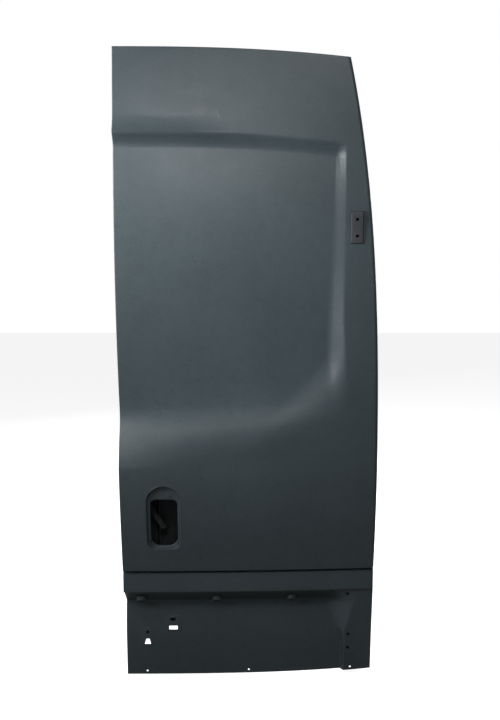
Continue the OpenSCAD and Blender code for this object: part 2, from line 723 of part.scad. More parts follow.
// Places across a post: u counts from the leaf's edge e inwards, in the direction s
function post_section(z, w, e, s) =
    let (flange = e + s * (flange_in + land_w), bend = flange + s * wall_slant)
    let (web_start = bend + s * wall_slant, web_end = e + s * w, wall = web_end + s * wall_draft)
    let (end = wall + s * (wall_turn + land_w * clamp01(above_waist(z)) * under_rail(z)))
    [
        [e + s * flange_in, land_y(e + s * flange_in, z), z],
        [flange, land_y(flange, z), z],
        [bend, inner_y(bend, z) - web_drop, z],
        [web_start, inner_y(web_start, z), z],
        [web_end - s * wall_slant, inner_y(web_end, z), z],
        [web_end, inner_y(web_end, z) - web_drop, z],
        [wall, wall_end(wall, z), z],
        [end, wall_end(end, z), z]
    ];
function reversed(v) = [for (i = [len(v) - 1:-1:0]) v[i]];

// The posts' levels follow the foot's rows and the skin's rows, with one level at the waist rail
last_row = len(skin_rows(0)) - 1;
skin_levels = [for (r = SKIN_ROWS) if (r >= 1 && r < last_row) r, last_row - 0.08];
function post_levels(x) =
    let (skin_z = [for (r = skin_levels) along(skin_rows(x), r)])
    concat(
        post_foot_gap,
        [for (r = FOOT_ROWS) if (r > FOOT_ROWS[0]) along(foot_rows(x), r)],
        [lip_z + lip_clear, lip_z + 2 * lip_clear + 1],
        [for (z = skin_z) if (z < waist_top) z], waist_top, [for (z = skin_z) if (z > waist_top) z]
    );

module lock_post() {
    color(inner_primer) difference() {
        sheet([for (z = post_levels(0)) post_section(z, lock_post_w(z), 0, 1)], frame_t);
        for (z = [lock_plate_z, upper_latch_z]) plate_cuts(lock_side_x, z);
    }
}

module hinge_post() {
    color(inner_primer) difference() {
        sheet([for (z = post_levels(leaf_w)) reversed(post_section(z, post_w, edge_x(z), -1))], frame_t);
        plate_cuts(hinge_side_x, strap_plate_z);
    }
}

// Rails between the posts. A section is a list of steps upwards, each with its height over the
// rail's lower edge and its depth.
RAIL_STEPS = 14;
WAIST_STEPS = 42;
rail_bend = 4;
rail_room = 3;
flange_h = 12;
foot_flange_h = 8;
waist_corner = 8;
waist_room = 0.9;
function rail_x(f, z, w) = lerp(w + gap, edge_x(z) - w - gap, f);
function span(section, x0, x1, steps) =
    [for (k = [0:len(section(x0)) - 1]) [for (i = [0:steps]) section(lerp(x0, x1, i / steps))[k]]];
module rail(section, x0, x1, steps = RAIL_STEPS) {
    color(inner_primer) sheet(span(section, x0, x1, steps), frame_t);
}

top_section = function (x)
    let (z1 = top_z(x) - rail_room, z0 = z1 - top_rail_h)
    let (web_y = inner_y(x, leaf_h - top_rail_h / 2))
    [
        [x, land_y(x, z0), z0],
        [x, land_y(x, z0 + flange_h), z0 + flange_h],
        [x, web_y - rail_bend, z0 + flange_h + rail_bend],
        [x, web_y, z0 + flange_h + 2 * rail_bend],
        [x, web_y, z1 - flange_h - 2 * rail_bend],
        [x, web_y - rail_bend, z1 - flange_h - rail_bend],
        [x, land_y(x, z1 - flange_h), z1 - flange_h],
        [x, land_y(x, z1), z1]
    ];
module top_rail() {
    z = leaf_h - top_rail_h / 2;
    w = post_w + wall_draft + wall_turn;
    rail(top_section, rail_x(0, z, w), rail_x(1, z, w));
}

waist_section = function (x)
    let (top = waist_z + waist_h, web_y = inner_y(x, waist_z))
    [
        [x, web_y - short_wall, waist_z],
        [x, web_y - web_drop, waist_z + wall_turn],
        [x, web_y, waist_z + waist_corner],
        [x, web_y, top - waist_corner],
        [x, web_y - web_drop, top - wall_turn],
        [x, land_y(x, top) + waist_room, top],
        [x, land_y(x, waist_top) + waist_room, waist_top]
    ];
module waist_rail() {
    w = post_w + wall_draft + wall_turn;
    rail(waist_section, rail_x(0, waist_z, w), rail_x(1, waist_z, w), WAIST_STEPS);
}

bottom_section = function (x)
    let (z0 = bottom_rail_z, z1 = z0 + bottom_rail_h, web_y = inner_y(x, z0) - rail_bend)
    [
        [x, land_y(x, z0), z0],
        [x, land_y(x, z0 + foot_flange_h), z0 + foot_flange_h],
        [x, web_y, z0 + foot_flange_h + rail_bend],
        [x, web_y, z1 - foot_flange_h - rail_bend],
        [x, land_y(x, z1 - foot_flange_h), z1 - foot_flange_h],
        [x, land_y(x, z1), z1]
    ];
module bottom_rail() {
    room = wall_draft + wall_turn + gap + 1;
    rail(bottom_section, post_foot_w + room, leaf_w - post_w - room);
}

// Raised plate behind the foot's group of holes, with windows behind the slot and the latch hole
latch_flange_h = 6;
latch_plate_room = 10;
latch_plate_over = 20;
latch_plate_steps = 4;
window_drop = 8;
window_room = 5;
latch_section = function (x)
    let (z0 = lower_latch_z - lower_latch_h / 2, z1 = z0 + lower_latch_h)
    let (web_y = foot_y(x, lower_latch_z) + lower_latch_d)
    [
        [x, land_y(x, z0), z0],
        [x, land_y(x, z0 + latch_flange_h), z0 + latch_flange_h],
        [x, web_y, z0 + latch_flange_h + rail_bend],
        [x, web_y, z1 - latch_flange_h - rail_bend],
        [x, land_y(x, z1 - latch_flange_h), z1 - latch_flange_h],
        [x, land_y(x, z1), z1]
    ];
module lower_latch_plate() {
    x0 = post_foot_w + latch_plate_room;
    x1 = oval_slot.x + oval_size.x / 2 + latch_plate_over;
    window_h = latch_outline[2].y - latch_outline[0].y;
    window_w = latch_outline[1].x - latch_outline[0].x;
    color(plate_grey) difference() {
        sheet(span(latch_section, x0, x1, latch_plate_steps), frame_t);
        through(wide_slot.x, wide_slot.y - window_drop)
            rounded_slot(wide_size.x + 2 * window_room, wide_size.y + 2 * window_room, window_room);
        through(latch_hole.x, latch_hole.y - window_drop)
            rounded_slot(window_w + 2 * window_room, window_h + 2 * window_room, window_room);
    }
}

// Panel that laps over the posts and the waist rail
panel_foot_z = 300;
panel_lap = 17;
panel_rows = 4;
panel_cols = 8;
module inner_panel() {
    grid = [
        for (r = [0:panel_rows]) let (z = lerp(panel_foot_z, waist_z + panel_lap, r / panel_rows))
            [for (c = [0:panel_cols]) let (x = rail_x(c / panel_cols, z, post_w - panel_lap))
                [x, inner_y(x, z) + frame_t + gap, z]]
    ];
    color(inner_primer) difference() {
        sheet(grid, frame_t);
        through(access_x, access_z) rounded_slot(access_w, access_h, access_r);
    }
}

// Stiffener bars with a raised middle, and the mastic that ties their lower edge to the skin
bar_room = 8;
bar_start = post_w + wall_draft + wall_turn + land_w + 1;
bar_rise = 4;
mastic_h = 8;
mastic_in = 20;
BAR_STEPS = 10;
function bar_end(z) = recess_x(z) - slope_w(z) - bar_room;
module stiffener_bar(z) {
    grid = [
        for (k = [-2:2]) let (q = z + k * bar_w / 4, lift = abs(k) < 2 ? mastic_t + bar_rise : mastic_t)
            [for (i = [0:BAR_STEPS]) let (x = lerp(bar_start, bar_end(z), i / BAR_STEPS))
                [x, outer_y(x, q) + skin_t + flange_gap + gap + lift, q]]
    ];
    color(inner_primer) sheet(grid, frame_t);
}
module mastic_strip(z) {
    grid = [
        for (q = [z - bar_w / 2, z - bar_w / 2 + mastic_h])
            [for (i = [0:BAR_STEPS])
                let (x = lerp(bar_start + mastic_in, bar_end(z) - mastic_in, i / BAR_STEPS))
                [x, outer_y(x, q) + skin_t + flange_gap, q]]
    ];
    color(mastic_grey) sheet(grid, mastic_t);
}

// The origin is the middle of the upper hinge seat's face
module placed() {
    translate([-hinge_x, -seat_y, -upper_hinge_z]) children();
}

placed() outer_skin();
placed() foot_panel();
placed() handle_pocket();
placed() upper_hinge_seat();
placed() upper_hinge_reinforcement();
placed() upper_hinge_nut(-1);  // upper_hinge_nut_1
placed() upper_hinge_nut(1);  // upper_hinge_nut_2
placed() lower_hinge_plate();
placed() lower_hinge_reinforcement();
placed() lower_hinge_nut(-1);  // lower_hinge_nut_1
placed() lower_hinge_nut(1);  // lower_hinge_nut_2
placed() clip_cup(0);  // clip_cup_1
placed() clip_cup(1);  // clip_cup_2
placed() clip_cup(2);  // clip_cup_3
placed() lock_post();
placed() hinge_post();
placed() top_rail();
placed() waist_rail();
placed() bottom_rail();
placed() inner_panel();
placed() stiffener_bar(lower_bar_z);  // lower_stiffener_bar
placed() stiffener_bar(upper_bar_z);  // upper_stiffener_bar
placed() mastic_strip(lower_bar_z);  // lower_mastic_strip
placed() mastic_strip(upper_bar_z);  // upper_mastic_strip
placed() post_plate(lock_side_x, lock_plate_z);  // lock_reinforcement
placed() post_plate(lock_side_x, upper_latch_z);  // upper_latch_plate
placed() lower_latch_plate();
placed() post_plate(hinge_side_x, strap_plate_z);  // check_strap_plate
placed() handle_brace();
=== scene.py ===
import json
import math

import bmesh
import bpy
import numpy as np
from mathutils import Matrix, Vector


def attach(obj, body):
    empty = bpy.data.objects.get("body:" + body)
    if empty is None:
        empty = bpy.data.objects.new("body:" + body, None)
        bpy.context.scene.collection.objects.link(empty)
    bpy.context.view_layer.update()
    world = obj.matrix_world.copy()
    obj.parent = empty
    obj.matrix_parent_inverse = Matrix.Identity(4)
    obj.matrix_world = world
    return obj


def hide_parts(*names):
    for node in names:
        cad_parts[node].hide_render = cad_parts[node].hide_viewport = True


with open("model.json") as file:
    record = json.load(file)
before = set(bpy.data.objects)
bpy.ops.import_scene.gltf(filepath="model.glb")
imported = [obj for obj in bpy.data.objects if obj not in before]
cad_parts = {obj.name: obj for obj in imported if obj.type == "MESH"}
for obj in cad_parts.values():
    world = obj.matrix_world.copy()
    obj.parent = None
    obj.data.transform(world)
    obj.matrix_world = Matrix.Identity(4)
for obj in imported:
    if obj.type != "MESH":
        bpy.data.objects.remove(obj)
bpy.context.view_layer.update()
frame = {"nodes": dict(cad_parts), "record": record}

# Driving dimensions of the leaf in millimetres, as in the part's source
leaf_h = 1940
leaf_w = 780
edge_lean = 102
lean_h = 1680
edge_curve = 3.6
roof_fall = 28
plan_bow = 28
top_tumble = 94
skin_t = 1
flange_d = 14
hem_d = 6
edge_roll = 6
roll_w = 10
belt_z = 690
body_tuck = 40
groove_z = 364
groove_d = 10
groove_half = 7
lip_z = 299
lip_y = 41
lip_flare = 4
crease_z = 738
crease_fall = 24
belt_slope_h = 165
brow_drop = 235
crest_fall = 32
step_h = 50
brow_out = 18
brow_h = 50
brow_len = 430
recess_in = 30
recess_flare = 17
flare_h = 299
slope_top_w = 30
slope_low_w = 75
corner_w = 165
corner_h = 182
corner_slope_w = 130
corner_bend = 0.6
floor_in = 60
floor_bulge = 34
floor_ease = 40
floor_sink = 6
crease_bend = 0.45
crease_fade = 0.7
foot_t = 1
foot_in = 84
foot_tuck = 23
ledge_z = 236
tuck_z = 110
ramp_in = 146
ramp_lean = 0.36
ramp_least = 14
flush_in = 85
flush_low_z = 150
flush_top_w = 33
flush_lean = 20
foot_inset = 2
foot_edge_in = 1
foot_rise = 16
seat_w = 36
seat_h = 93
seat_out = 2
hinge_in = 75
hinge_drop = 510.5
lower_hinge_z = 116
hinge_pitch = 48
hinge_hole_r = 4.5
plate_t = 2.5
hinge_plate_t = 4
bracket_over = 20
pocket_w = 110
pocket_h = 216
pocket_x = 132
pocket_z = 552
pocket_d = 15
pocket_r = 34
aperture_w = 84
aperture_h = 157
aperture_drop = 20.5
aperture_r = 30
aperture_head_r = 18
cup_x = 53
cup_in = 107
cup_r = 17
cup_d = 14
gap = 0.5
seat_gap = 0.8
draft = 0.8
curve = 2.6
first_col = 12

# Places that follow from them
lean_z = leaf_h - lean_h
crest_z = leaf_h - brow_drop
hinge_x = leaf_w - hinge_in
upper_hinge_z = leaf_h - hinge_drop
recess_w = hinge_x - recess_in
flare_z = crease_z + corner_h + flare_h
corner_end = (recess_w + recess_flare, crease_z + corner_h)
corner_x = corner_end[0] - corner_w
corner_len = math.hypot(corner_w, corner_h)
corner_dir = (corner_w / corner_len, corner_h / corner_len)
floor_low_z = crease_z + belt_slope_h
floor_top_z = crest_z - step_h
ramp_x = leaf_w - ramp_in
flush_x = leaf_w - flush_in
ledge_y = lip_y + hem_d + skin_t + gap
cup_pitch = (ramp_x - cup_in - cup_x) / 2


def lerp(a, b, t):
    return a + (b - a) * t


def clamp01(t):
    return np.clip(t, 0, 1)


def ramp(t, a, b):
    """Rises from 0 to 1, rounded over the share a at its foot and the share b at its head."""
    slope = 2 / (2 - a - b)
    t = clamp01(t)
    foot = slope * t * t / (2 * a)
    middle = slope * (t - a / 2)
    head = 1 - slope * (1 - t) ** 2 / (2 * b)
    return np.where(t < a, foot, np.where(t < 1 - b, middle, head))


def rollover(t, bend):
    """Starts at a crease with a bend, steepens and rolls off at its head."""
    return bend * clamp01(t) + (1 - bend) * ramp(t, 0.6, 0.35)


# Outline of the leaf and of its recess
def edge_x(z):
    return leaf_w - edge_lean * np.maximum(0, (z - lean_z) / lean_h) ** edge_curve


def top_z(x):
    return leaf_h - roof_fall * (np.maximum(0, x) / edge_x(leaf_h)) ** curve


def plan_y(x):
    return plan_bow * (x / leaf_w) ** 2


def brow_z(x):
    return crest_z - crest_fall * (np.maximum(0, x) / recess_w) ** curve


def recess_x(z):
    return recess_w + recess_flare * clamp01((flare_z - z) / flare_h) ** 2


def slope_w(z):
    return lerp(slope_low_w, slope_top_w, clamp01((z - crease_z) / (crest_z - crease_z)))


def corner_dist(x, z):
    return corner_dir[0] * (z - corner_end[1]) - corner_dir[1] * (x - corner_end[0])


def crease_at(x):
    return crease_z - crease_fall * (1 - clamp01(x / corner_x))


def crease_line(x):
    return crease_at(x) + corner_h * clamp01((x - corner_x) / corner_w)


def recess_across(x):
    return clamp01(x / recess_w)


def recess_share(x, z):
    return (
        ramp((brow_z(x) - z) / step_h, 0.25, 0.4)
        * ramp((recess_x(z) - x) / slope_w(z), 0.2, 0.4)
        * rollover(corner_dist(x, z) / corner_slope_w, corner_bend)
        * rollover((z - crease_at(x)) / belt_slope_h, crease_bend * (1 - crease_fade * recess_across(x)))
    )


# Outer face of the skin, as its depth behind the belt
def tumble_y(z):
    above = top_tumble * np.maximum(0, (z - belt_z) / (leaf_h - belt_z)) ** curve
    below = body_tuck * np.maximum(0, (belt_z - z) / (belt_z - groove_z)) ** 1.5
    return np.where(z > belt_z, above, below)


def brow_y(x, z):
    over = (z - brow_z(x)) / brow_h
    fade = 1 - clamp01(np.where(over < 0, -over / 3, over))
    return brow_out * np.maximum(0, 1 - (x / brow_len) ** 2) * fade ** 2


floor_mid = (floor_top_z + floor_low_z) / 2
floor_half = (floor_top_z - floor_low_z) / 2


def floor_y(x, z):
    up = (z - floor_mid) / floor_half
    across = recess_across(x)
    ease = floor_ease * (1 - (1 - across) ** 2) * np.maximum(0, -up) ** 4
    sink = floor_sink * across * np.maximum(0, up) ** 3
    return floor_in - floor_bulge * (1 - up ** 2) - ease + sink


def lip_band_y(z):
    return lip_y + lip_flare * clamp01((z - lip_z) / (groove_z - lip_z))


def groove_y(z):
    return groove_d * np.maximum(0, 1 - np.abs(z - groove_z) / groove_half)


def roll_y(x, z):
    return edge_roll * clamp01((x - edge_x(z) + roll_w) / roll_w) ** 2


def outer_y(x, z):
    x = np.asarray(x, float)
    z = np.asarray(z, float)
    above = lerp(tumble_y(z) - brow_y(x, z), floor_y(x, z), recess_share(x, z))
    return plan_y(x) + roll_y(x, z) + groove_y(z) + np.where(z < groove_z, lip_band_y(z), above)


# Outer face of the foot
def foot_ramp_x(z):
    return np.minimum(ramp_x + ramp_lean * np.maximum(0, ledge_z - z), flush_x - ramp_least)


def foot_flush_x(z):
    return lerp(flush_x, leaf_w - flush_top_w, clamp01((z - flush_low_z) / (lip_z - flush_low_z)))


def foot_low_y(z):
    ledge = lerp(foot_in + foot_tuck, ledge_y, ramp((z - ledge_z) / (lip_z - ledge_z), 0.3, 0.1))
    panel = foot_in + foot_tuck * np.maximum(0, (z - tuck_z) / (ledge_z - tuck_z)) ** 2
    return np.where(z > ledge_z, ledge, panel)


def foot_y(x, z):
    flush = ledge_y + flush_lean * (1 - z / lip_z)
    share = ramp((x - foot_ramp_x(z)) / (foot_flush_x(z) - foot_ramp_x(z)), 0.2, 0.25)
    return plan_y(x) + lerp(foot_low_y(z), flush, share)


def foot_z(x):
    return foot_rise * (np.maximum(0, x) / leaf_w) ** 4


# The frame's origin is the middle of the upper hinge seat's face
seat_y = float(outer_y(hinge_x - seat_w / 2, upper_hinge_z - seat_h / 2)) - seat_out
seat_back = float(outer_y(hinge_x + seat_w / 2, upper_hinge_z + seat_h / 2 + bracket_over)) + skin_t + gap
ORIGIN = np.array([hinge_x, seat_y, upper_hinge_z])


def place(p):
    """Leaf coordinates in millimetres to the frame's metres."""
    return (np.asarray(p, float) - ORIGIN) / 1000


# Materials
def node_of(tree, kind, **values):
    node = tree.nodes.new(kind)
    for name, value in values.items():
        setattr(node, name, value)
    return node


def noise(tree, scale, detail, low, high):
    """Noise in the piece's own coordinates, scale in waves a metre, stretched from low to high."""
    place_node = node_of(tree, "ShaderNodeTexCoord")
    texture = node_of(tree, "ShaderNodeTexNoise")
    texture.inputs["Scale"].default_value = scale
    texture.inputs["Detail"].default_value = detail
    tree.links.new(place_node.outputs["Object"], texture.inputs["Vector"])
    spread_node = node_of(tree, "ShaderNodeMapRange")
    spread_node.inputs["From Min"].default_value = 0.3
    spread_node.inputs["From Max"].default_value = 0.7
    spread_node.inputs["To Min"].default_value = low
    spread_node.inputs["To Max"].default_value = high
    tree.links.new(texture.outputs["Fac"], spread_node.inputs["Value"])
    return spread_node.outputs["Result"]


def math_node(tree, operation, a, b):
    node = node_of(tree, "ShaderNodeMath", operation=operation)
    for socket, value in zip(node.inputs, (a, b)):
        if isinstance(value, (int, float)):
            socket.default_value = value
        else:
            tree.links.new(value, socket)
    return node.outputs[0]


def mixed(tree, share, a, b):
    """Colour between a and b by a share. Each is a colour or a socket."""
    node = node_of(tree, "ShaderNodeMix", data_type="RGBA")
    tree.links.new(share, node.inputs[0])
    for socket, value in zip((node.inputs[6], node.inputs[7]), (a, b)):
        if isinstance(value, tuple):
            socket.default_value = (*value, 1)
        else:
            tree.links.new(value, socket)
    return node.outputs[2]


def coat(name, dark, light, wear, rough, grain, peel, metal=0.0):
    """Sprayed coat: clouds between two shades, a fine grain, rubbed edges and orange peel."""
    material = bpy.data.materials.new(name)
    material.use_nodes = True
    tree = material.node_tree
    bsdf = tree.nodes["Principled BSDF"]
    clouds = math_node(tree, "ADD", noise(tree, 5, 4, 0, 0.6), noise(tree, 45, 3, 0, 0.4))
    grains = noise(tree, 420, 2, -grain, grain)
    shade = mixed(tree, math_node(tree, "ADD", clouds, grains), dark, light)
    bend = node_of(tree, "ShaderNodeNewGeometry").outputs["Pointiness"]
    rubbed = node_of(tree, "ShaderNodeMapRange")
    rubbed.inputs["From Min"].default_value = 0.54
    rubbed.inputs["From Max"].default_value = 0.66
    tree.links.new(bend, rubbed.inputs["Value"])
    worn = math_node(tree, "MULTIPLY", rubbed.outputs["Result"], noise(tree, 90, 4, 0, 0.8))
    tree.links.new(mixed(tree, worn, shade, wear), bsdf.inputs["Base Color"])
    tree.links.new(math_node(tree, "ADD", noise(tree, 30, 3, rough - 0.05, rough + 0.05), grains),
                   bsdf.inputs["Roughness"])
    bsdf.inputs["Metallic"].default_value = metal
    bump = node_of(tree, "ShaderNodeBump")
    bump.inputs["Strength"].default_value = peel
    bump.inputs["Distance"].default_value = 0.0004
    height = math_node(tree, "ADD", noise(tree, 330, 2, 0, 0.7), noise(tree, 1100, 1, 0, 0.3))
    tree.links.new(height, bump.inputs["Height"])
    tree.links.new(bump.outputs["Normal"], bsdf.inputs["Normal"])
    return material


PRIMER = coat("primer", (0.052, 0.071, 0.08), (0.068, 0.092, 0.102), (0.16, 0.19, 0.2), 0.42, 0.18, 0.3)
# Seat coat: a more neutral, slightly purple tone than the primer, and also darker as painted shade for the
# seat's upright face
SEAT_TONE_AND_SHADE = coat("seat_primer_and_shade", (0.044, 0.047, 0.055), (0.058, 0.061, 0.07), (0.17, 0.18, 0.2), 0.45, 0.18, 0.3)
# Inner primer: a darker coat, partly its own tone and partly painted shade for the dim inside of the leaf
INNER_PRIMER_AND_SHADE = coat(
    "inner_primer", (0.03, 0.037, 0.04), (0.043, 0.052, 0.055), (0.14, 0.16, 0.16), 0.6, 0.1, 0.3
)
# Bare plate: a dark grey, partly its own tone and partly painted shade for the braces and plates inside the
# leaf
PLATE_AND_SHADE = coat("bare_plate", (0.026, 0.025, 0.024), (0.042, 0.039, 0.037), (0.16, 0.15, 0.145), 0.6, 0.12, 0.35)
MASTIC = coat("mastic", (0.012, 0.012, 0.013), (0.024, 0.024, 0.025), (0.04, 0.04, 0.04), 0.8, 0.1, 0.9)
STUD = coat("stud", (0.3, 0.32, 0.33), (0.42, 0.44, 0.45), (0.6, 0.6, 0.6), 0.35, 0.1, 0.2, 0.9)
MATERIALS = {"primer": PRIMER, "inner_primer": INNER_PRIMER_AND_SHADE, "bare_plate": PLATE_AND_SHADE, "mastic": MASTIC}


# Meshes
def new_piece(name, points, faces, slot_name, replaced=(), sharp=35):
    """A piece from leaf points and faces, with smooth shading up to the sharp angle in degrees."""
    mesh = bpy.data.meshes.new(name)
    mesh.from_pydata(place(points).tolist(), [], faces)
    mesh.materials.append(MATERIALS[slot_name])
    piece = bpy.data.objects.new(name, mesh)
    bpy.context.scene.collection.objects.link(piece)
    smooth(piece, sharp)
    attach(piece, "root")
    if replaced:
        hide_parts(*replaced)
    return piece


def smooth(piece, sharp=35):
    piece.data.polygons.foreach_set("use_smooth", [True] * len(piece.data.polygons))
    piece.data.set_sharp_from_angle(angle=math.radians(sharp))


def unit(v):
    return v / np.maximum(np.linalg.norm(v, axis=-1, keepdims=True), 1e-9)


def sheet_faces(n, m, wrap):
    """Quads of a closed sheet: its front, its back and the rim between them."""
    q = n * m
    cols = range(m if wrap else m - 1)
    faces = []
    for i in range(n - 1):
        for j in cols:
            a, b = i * m + j, i * m + (j + 1) % m
            faces.append((a, b, b + m, a + m))
            faces.append((q + a + m, q + b + m, q + b, q + a))
    top = q - m
    for j in cols:
        k = (j + 1) % m
        faces.append((k, j, q + j, q + k))
        faces.append((top + j, top + k, q + top + k, q + top + j))
    if not wrap:
        for i in range(n - 1):
            a, b = i * m, i * m + m - 1
            faces.append((a, a + m, q + a + m, q + a))
            faces.append((b + m, b, q + b, q + b + m))
    return faces


def neighbours(p, axis, wrap):
    """Mean direction along an axis of the grid."""
    if wrap:
        return unit(np.roll(p, -1, axis) - p) + unit(p - np.roll(p, 1, axis))
    step = unit(np.diff(p, axis=axis))
    pad = [(0, 0)] * 3
    pad[axis] = (0, 1)
    after = np.pad(step, pad)
    pad[axis] = (1, 0)
    return after + np.pad(step, pad)


def sheet(name, grid, thickness, slot_name, replaced=(), wrap=False, sharp=35):
    """Closed sheet of a thickness behind a grid of leaf points, rows upwards and columns to the right."""
    n, m = grid.shape[:2]
    normal = unit(np.cross(neighbours(grid, 1, wrap), neighbours(grid, 0, False)))
    front = grid.reshape(-1, 3)
    back = (grid - thickness * normal).reshape(-1, 3)
    for axis in (0, 2):
        back[:, axis] = np.clip(back[:, axis], front[:, axis].min(), front[:, axis].max())
    points = np.concatenate([front, back])
    return new_piece(name, points, sheet_faces(n, m, wrap), slot_name, replaced, sharp)


rounding_share = 0.45


def rounded(grid, radius, steps, keep=0):
    """Rounds the bends between a grid's rows. The first rows up to keep stay as they are."""
    rows = [grid[k] for k in range(keep + 1)]
    for k in range(keep + 1, len(grid) - 1):
        before, here, after = grid[k - 1], grid[k], grid[k + 1]
        into = before - here
        out = after - here
        reach_in = np.minimum(radius, rounding_share * np.linalg.norm(into, axis=-1, keepdims=True))
        reach_out = np.minimum(radius, rounding_share * np.linalg.norm(out, axis=-1, keepdims=True))
        start = here + unit(into) * reach_in
        end = here + unit(out) * reach_out
        for t in np.linspace(0, 1, steps + 1):
            rows.append((1 - t) ** 2 * start + 2 * t * (1 - t) * here + t * t * end)
    rows.append(grid[-1])
    return np.stack(rows)


def prism(outline, x, z, y0=-60, y1=190):
    """Points and faces of an outline in the leaf's plane, drawn out from y0 to y1."""
    n = len(outline)
    points = [(x + u, y0, z + w) for u, w in outline] + [(x + u, y1, z + w) for u, w in outline]
    sides = [(k, n + k, n + (k + 1) % n, (k + 1) % n) for k in range(n)]
    return points, [tuple(range(n)), tuple(range(n, 2 * n))[::-1]] + sides


def cut(piece, prisms, sharp=35):
    """Cuts prisms that don't touch each other out of a piece."""
    points, faces = [], []
    for prism_points, prism_faces in prisms:
        start = len(points)
        points += prism_points
        faces += [tuple(start + k for k in face) for face in prism_faces]
    mesh = bpy.data.meshes.new("cutter")
    mesh.from_pydata(place(points).tolist(), [], faces)
    cutter = bpy.data.objects.new("cutter", mesh)
    bpy.context.scene.collection.objects.link(cutter)
    modifier = piece.modifiers.new("cut", "BOOLEAN")
    modifier.operation = "DIFFERENCE"
    modifier.solver = "EXACT"
    modifier.object = cutter
    apply_modifiers(piece)
    bpy.data.objects.remove(cutter)
    smooth(piece, sharp)


def apply_modifiers(piece):
    shape = piece.evaluated_get(bpy.context.evaluated_depsgraph_get())
    mesh = bpy.data.meshes.new_from_object(shape)
    piece.modifiers.clear()
    piece.data = mesh


# Flat outlines round their middle, anticlockwise as seen from outside
def circle(r, steps=32):
    return [(r * math.cos(a), r * math.sin(a)) for a in np.linspace(0, 2 * math.pi, steps, endpoint=False)]


def slot_outline(w, h, head_r, foot_r, arc=10, side=1):
    """Rounded oblong: right side, head and left side, foot. Its sides take a number of steps."""
    def corner(cx, cz, r, start):
        return [(cx + r * math.cos(a), cz + r * math.sin(a))
                for a in np.radians(np.linspace(start, start + 90, arc + 1))]
    right = [(w / 2, z) for z in np.linspace(-h / 2 + foot_r, h / 2 - head_r, side + 1)[:-1]]
    left = [(-w / 2, z) for z in np.linspace(h / 2 - head_r, -h / 2 + foot_r, side + 1)[:-1]]
    return (
        right + corner(w / 2 - head_r, h / 2 - head_r, head_r, 0)
        + corner(-w / 2 + head_r, h / 2 - head_r, head_r, 90)[0 if w > 2 * head_r else 1:][:-1]
        + left + corner(-w / 2 + foot_r, -h / 2 + foot_r, foot_r, 180)
        + corner(w / 2 - foot_r, -h / 2 + foot_r, foot_r, 270)[:-1]
    )


def block(w, h):
    return [(-w / 2, -h / 2), (w / 2, -h / 2), (w / 2, h / 2), (-w / 2, h / 2)]


# Outer skin: its rows and columns follow its creases
def along(keys, p):
    """Place p along a list of stretches, whose ends are numbers or grids."""
    keys = np.stack(np.broadcast_arrays(*keys, np.asarray(p, float)))[:-1]
    p = np.broadcast_to(p, keys.shape[1:])
    k = np.clip(np.floor(p).astype(int), 0, len(keys) - 2)
    a = np.take_along_axis(keys, k[None], 0)[0]
    b = np.take_along_axis(keys, k[None] + 1, 0)[0]
    return lerp(a, b, p - k)


def spread(steps):
    places = [k + i / n for k, n in enumerate(steps) for i in range(n)]
    return np.array(places + [len(steps)], float)


def skin_rows(x):
    return [
        lip_z, groove_z - groove_half, groove_z, groove_z + groove_half,
        crease_line(x), crease_line(x) + belt_slope_h,
        brow_z(x) - step_h, brow_z(x), brow_z(x) + brow_h, top_z(x),
    ]


def skin_cols(z):
    return [0, first_col, corner_x, recess_x(z) - slope_w(z), recess_x(z), edge_x(z) - roll_w, edge_x(z)]


def edge_steps(r, depth):
    """Steps round a turned edge, as how far out and how deep: an arc of radius r, then the flange."""
    arc = [(r * math.sin(a), r * (1 - math.cos(a))) for a in np.linspace(0, math.pi / 2, 6)[1:]]
    return arc + [(r - draft * t, r + (depth - r) * t) for t in (0.5, 1)]


def turned(x, z, surface, left=(), right=(), below=(), above=()):
    """Grid of outside points whose borders turn in over the given steps."""
    pad = ((len(below), len(above)), (len(left), len(right)))
    x = np.pad(x, pad, mode="edge")
    z = np.pad(z, pad, mode="edge")
    out_x, in_x = np.zeros(x.shape[1]), np.zeros(x.shape[1])
    out_z, in_z = np.zeros(x.shape[0]), np.zeros(x.shape[0])
    for k, (out, deep) in enumerate(left):
        out_x[len(left) - 1 - k], in_x[len(left) - 1 - k] = -out, deep
    for k, (out, deep) in enumerate(right):
        out_x[x.shape[1] - len(right) + k], in_x[x.shape[1] - len(right) + k] = out, deep
    for k, (out, deep) in enumerate(below):
        out_z[len(below) - 1 - k], in_z[len(below) - 1 - k] = -out, deep
    for k, (out, deep) in enumerate(above):
        out_z[x.shape[0] - len(above) + k], in_z[x.shape[0] - len(above) + k] = out, deep
    x = x + out_x[None, :]
    z = z + out_z[:, None]
    y = surface(x, z) + np.maximum(in_x[None, :], in_z[:, None])
    return np.stack([x, y, z], axis=-1)


SKIN_ROWS = [6, 4, 4, 34, 46, 44, 34, 22, 26]
SKIN_COLS = [3, 60, 16, 40, 30, 8]
skin_edge_r = 2.4


def make_outer_skin():
    lip_h = groove_z - groove_half - lip_z
    roof_h = leaf_h - crest_z - brow_h
    r = spread(SKIN_ROWS)
    c = spread(SKIN_COLS)
    r[0] = skin_edge_r / lip_h
    r[-1] -= skin_edge_r / roof_h
    c[0] = skin_edge_r / first_col
    c[-1] -= skin_edge_r / roll_w
    r, c = r[:, None], c[None, :]
    z0 = along(skin_rows(leaf_w / 2), r)
    x0 = along(skin_cols(z0), c)
    z1 = along(skin_rows(x0), r)
    x1 = along(skin_cols(z1), c)
    side = edge_steps(skin_edge_r, flange_d)
    grid = turned(x1, along(skin_rows(x1), r), outer_y, side, side, edge_steps(skin_edge_r, hem_d), side)
    skin = sheet("outer_skin_sheet", grid, skin_t, "primer", ("outer_skin",))
    pocket = slot_outline(pocket_w, pocket_h, pocket_w / 2, pocket_r, 24, 1)
    seat = block(seat_w + 2 * seat_gap, seat_h + 2 * seat_gap)
    cut(skin, [prism(pocket, pocket_x, pocket_z), prism(seat, hinge_x, upper_hinge_z)])


